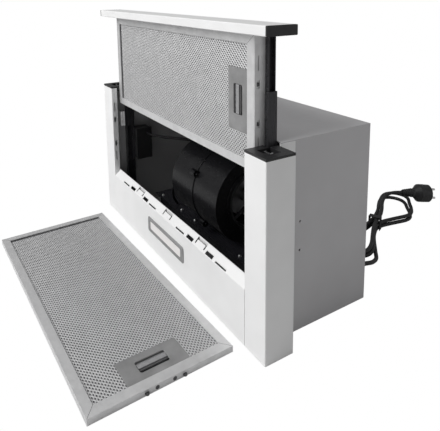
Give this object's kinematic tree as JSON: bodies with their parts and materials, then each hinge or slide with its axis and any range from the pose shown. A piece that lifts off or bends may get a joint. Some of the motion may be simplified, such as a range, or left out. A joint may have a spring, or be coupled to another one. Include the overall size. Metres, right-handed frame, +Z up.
{
  "type": "slide-out cooker hood",
  "caption": "Slide-out cooker hood standing on its wall side, drawer drawn out, with one of its grease filters taken out and lying in front.",
  "frame": {"origin": "on the surface that the hood stands on, in the middle of its intake face", "axes": "+X to the right seen from the intake side, +Y from the intake face to the back that holds the outlet, +Z up and along the drawer's way out"},
  "size_m": [0.6, 0.8939, 0.4535],
  "materials": {
    "white_metal": "satin",
    "grey_metal": "satin",
    "zinc_steel": "satin",
    "black_steel": "satin",
    "black_plastic": "matte",
    "white_plastic": "matte",
    "grey_plastic": "matte",
    "light_plastic": "matte",
    "filter_metal": "satin",
    "mesh_metal": "satin",
    "lens_plastic": "gloss",
    "lamp_glass": "gloss",
    "motor_steel": "satin",
    "wheel_plastic": "matte",
    "cord_rubber": "matte",
    "pin_metal": "satin"
  },
  "bodies": {
    "housing": {"motor_box": "grey_metal", "post_left": "white_metal", "post_right": "white_metal", "front_panel": "white_metal", "cap_left": "black_plastic", "cap_right": "black_plastic", "switches": "black_plastic", "drawer_guides": "white_plastic", "slide_brackets": "zinc_steel", "slide_outer_left": "zinc_steel", "slide_outer_right": "zinc_steel", "lamp_frame": "grey_plastic", "lamp_lens": "lens_plastic", "lamp_housing": "zinc_steel", "lamp_sockets": "white_plastic", "lamp_tube": "lamp_glass", "scroll_left": "black_plastic", "scroll_right": "black_plastic", "inlet_guard": "black_plastic", "motor_spider": "black_plastic", "motor": "motor_steel", "blower_plate": "zinc_steel", "blower_screws": "zinc_steel", "outlet_collar": "black_plastic", "control_box": "black_plastic", "control_lid": "black_plastic", "wiring": "black_plastic", "cord_gland": "black_plastic", "power_cord": "cord_rubber", "cord_hank": "cord_rubber", "cord_tie": "black_plastic", "plug_lead": "cord_rubber", "plug_body": "black_plastic", "plug_pins": "pin_metal"},
    "drawer": {"drawer_frame": "grey_metal", "front_bar": "white_metal", "bar_ends": "black_plastic", "slide_inner_left": "zinc_steel", "slide_inner_right": "zinc_steel", "filter_frame_drawer": "filter_metal", "mesh_front_drawer": "mesh_metal", "mesh_core_drawer": "mesh_metal", "mesh_back_drawer": "mesh_metal", "handle_drawer": "grey_plastic"},
    "slide_left": {"slide_middle_left": "black_steel"},
    "slide_right": {"slide_middle_right": "black_steel"},
    "drawer_latch": {"latch_drawer": "light_plastic"},
    "fan": {"impeller": "wheel_plastic", "motor_shaft": "zinc_steel"},
    "outlet_flap_left": {"flap_left": "black_plastic"},
    "outlet_flap_right": {"flap_right": "black_plastic"},
    "lever_left": {"switch_lever_left": "zinc_steel"},
    "lever_right": {"switch_lever_right": "zinc_steel"},
    "loose_filter": {"filter_frame_loose": "filter_metal", "mesh_front_loose": "mesh_metal", "mesh_core_loose": "mesh_metal", "mesh_back_loose": "mesh_metal", "handle_loose": "grey_plastic"},
    "loose_latch": {"latch_loose": "light_plastic"}
  },
  "joints": [
    {"name": "drawer_slide", "type": "slide", "parent": "housing", "child": "drawer", "axis": [0, 0, 1], "range_m": [-0.1515, 0]},
    {"name": "slide_left_travel", "type": "slide", "parent": "housing", "child": "slide_left", "axis": [0, 0, 1], "range_m": [-0.07575, 0]},
    {"name": "slide_right_travel", "type": "slide", "parent": "housing", "child": "slide_right", "axis": [0, 0, 1], "range_m": [-0.07575, 0]},
    {"name": "drawer_latch_slide", "type": "slide", "parent": "drawer", "child": "drawer_latch", "axis": [-1, 0, 0], "range_m": [0, 0.005], "stiffness_N_per_m": 600, "springref_m": -0.002},
    {"name": "fan_spin", "type": "hinge", "parent": "housing", "child": "fan", "pos_m": [0.008, 0.134, 0.124], "axis": [1, 0, 0], "continuous": true},
    {"name": "flap_left_hinge", "type": "hinge", "parent": "housing", "child": "outlet_flap_left", "pos_m": [0.008, 0.237, 0.154], "axis": [0, 0, 1], "range_deg": [-75, 0], "stiffness_Nm_per_rad": 0.004, "springref_deg": 5.73},
    {"name": "flap_right_hinge", "type": "hinge", "parent": "housing", "child": "outlet_flap_right", "pos_m": [0.008, 0.237, 0.154], "axis": [0, 0, 1], "range_deg": [0, 75], "stiffness_Nm_per_rad": 0.004, "springref_deg": -5.73},
    {"name": "lever_left_hinge", "type": "hinge", "parent": "housing", "child": "lever_left", "pos_m": [-0.2673, 0.0228, 0.28525], "axis": [0, 1, 0], "range_deg": [-3, 0], "stiffness_Nm_per_rad": 0.05, "springref_deg": 5.73},
    {"name": "lever_right_hinge", "type": "hinge", "parent": "housing", "child": "lever_right", "pos_m": [0.2673, 0.0228, 0.28525], "axis": [0, 1, 0], "range_deg": [0, 3], "stiffness_Nm_per_rad": 0.05, "springref_deg": -5.73},
    {"name": "loose_filter_lift", "type": "slide", "parent": "housing", "child": "loose_filter", "axis": [0, 0, 1], "range_m": [0, 0.2]},
    {"name": "loose_latch_slide", "type": "slide", "parent": "loose_filter", "child": "loose_latch", "axis": [-0.9995, -0.0332, 0], "range_m": [0, 0.005], "stiffness_N_per_m": 600, "springref_m": -0.002}
  ],
  "couplings": [
    {"joint": "slide_left_travel", "follows": "drawer_slide", "ratio": 0.5},
    {"joint": "slide_right_travel", "follows": "drawer_slide", "ratio": 0.5}
  ]
}
